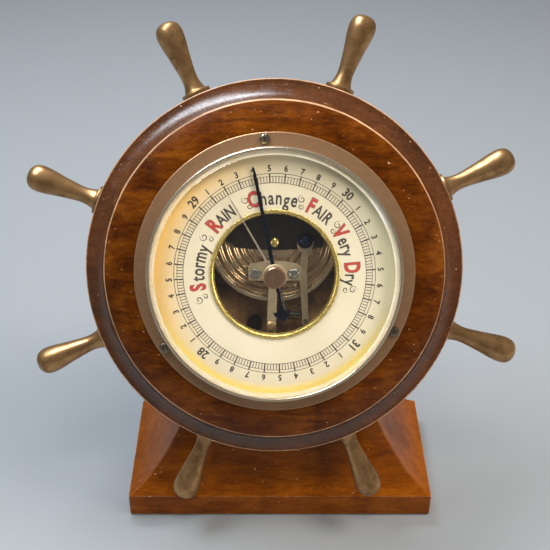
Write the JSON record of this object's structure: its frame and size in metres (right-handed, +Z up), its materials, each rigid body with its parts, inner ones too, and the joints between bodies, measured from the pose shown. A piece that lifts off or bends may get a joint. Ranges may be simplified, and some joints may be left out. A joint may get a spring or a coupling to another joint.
{
  "type": "ship barometer",
  "caption": "Desk aneroid barometer in a wooden ship's wheel with brass handles, glazed open dial, setting hand and a coved wooden stand.",
  "frame": {"origin": "middle of the baize underside of the stand, on the surface it stands on", "axes": "+Z up, the dial faces -Y and leans back 25.7 degrees, +X to the right seen from the front"},
  "size_m": [0.1943, 0.0925, 0.1945],
  "materials": {
    "mahogany": "french-polished mahogany, worn at the edges",
    "antique_brass": "dull antique brass",
    "bronzed_brass": "bronzed satin brass",
    "bright_brass": "lacquered brass",
    "blued_steel": "heat-blued steel",
    "steel": "plain steel",
    "black_japan": "black japanned steel",
    "dial_enamel": "aged cream enamel",
    "baize": "green baize",
    "glass": "bevelled clear glass"
  },
  "bodies": {
    "stand_and_case": {"stand_block": "mahogany", "stand_baize": "baize", "stand_screw_l": "bright_brass", "stand_screw_r": "bright_brass", "wheel_board": "mahogany", "handle_1": "antique_brass", "handle_2": "antique_brass", "handle_3": "antique_brass", "handle_4": "antique_brass", "handle_5": "antique_brass", "handle_6": "antique_brass", "handle_7": "antique_brass", "handle_8": "antique_brass", "case_pan": "steel", "case_flange": "bronzed_brass", "bezel_screw_1": "bronzed_brass", "bezel_screw_2": "bronzed_brass", "bezel_screw_3": "bronzed_brass", "bezel_ring": "bright_brass", "glass": "glass", "glass_clip": "bright_brass", "dial": "dial_enamel", "aperture_ring": "bright_brass", "dial_foot_1": "bright_brass", "dial_foot_2": "bright_brass", "dial_foot_3": "bright_brass", "set_bush": "bright_brass", "base_plate": "black_japan", "plate_screw_1": "black_japan", "plate_screw_2": "black_japan", "plate_screw_3": "black_japan", "capsule_lower": "bright_brass", "spring_bracket": "steel", "spring_screw": "steel", "rocker_bracket": "bright_brass", "hairspring": "blued_steel", "arbor_cock": "bright_brass", "bridge_plate": "bronzed_brass", "bridge_screw_l": "steel", "bridge_screw_r": "steel", "bridge_post": "bright_brass", "bridge_post_screw": "bright_brass"},
    "setting_hand": {"set_knob": "bronzed_brass", "set_hand": "bright_brass"},
    "pointer_arbor": {"arbor": "steel", "pointer": "blued_steel"},
    "spring_lever": {"main_spring": "black_japan", "lever_arm": "bright_brass", "lever_screw": "blued_steel", "capsule_stud": "bright_brass", "capsule_upper": "bright_brass", "link_rod": "steel"},
    "rocker": {"rocker_shaft": "steel"},
    "chain_run": {"chain": "steel"},
    "adjuster": {"adjust_screw": "bright_brass"}
  },
  "joints": [
    {"name": "set_hand_turn", "type": "hinge", "parent": "stand_and_case", "child": "setting_hand", "pos_m": [-0.0027, -0.02324, 0.11898], "axis": [0, -0.9011, 0.4337], "continuous": true},
    {"name": "pointer_turn", "type": "hinge", "parent": "stand_and_case", "child": "pointer_arbor", "pos_m": [-0.0027, -0.01783, 0.11638], "axis": [0, -0.9011, 0.4337], "range_deg": [-162, 144]},
    {"name": "spring_lever_rock", "type": "hinge", "parent": "stand_and_case", "child": "spring_lever", "pos_m": [-0.0027, 0.01393, 0.14571], "axis": [1, 0, 0], "range_deg": [-0.31, 0.35]},
    {"name": "rocker_turn", "type": "hinge", "parent": "stand_and_case", "child": "rocker", "pos_m": [0.0053, -0.00877, 0.09048], "axis": [1, 0, 0], "range_deg": [-12.5, 14]},
    {"name": "chain_travel", "type": "hinge", "parent": "stand_and_case", "child": "chain_run", "pos_m": [-0.04867, -0.0146, 0.09312], "axis": [0, -0.9011, 0.4337], "range_deg": [-2.1, 1.9]},
    {"name": "adjust_screw_turn", "type": "hinge", "parent": "stand_and_case", "child": "adjuster", "pos_m": [-0.0027, 0.01148, 0.11503], "axis": [0, -0.9011, 0.4337], "range_deg": [-180, 180]}
  ],
  "couplings": [
    {"joint": "spring_lever_rock", "follows": "pointer_turn", "ratio": -0.002069},
    {"joint": "rocker_turn", "follows": "pointer_turn", "ratio": -0.08333},
    {"joint": "chain_travel", "follows": "pointer_turn", "ratio": 0.011983}
  ]
}
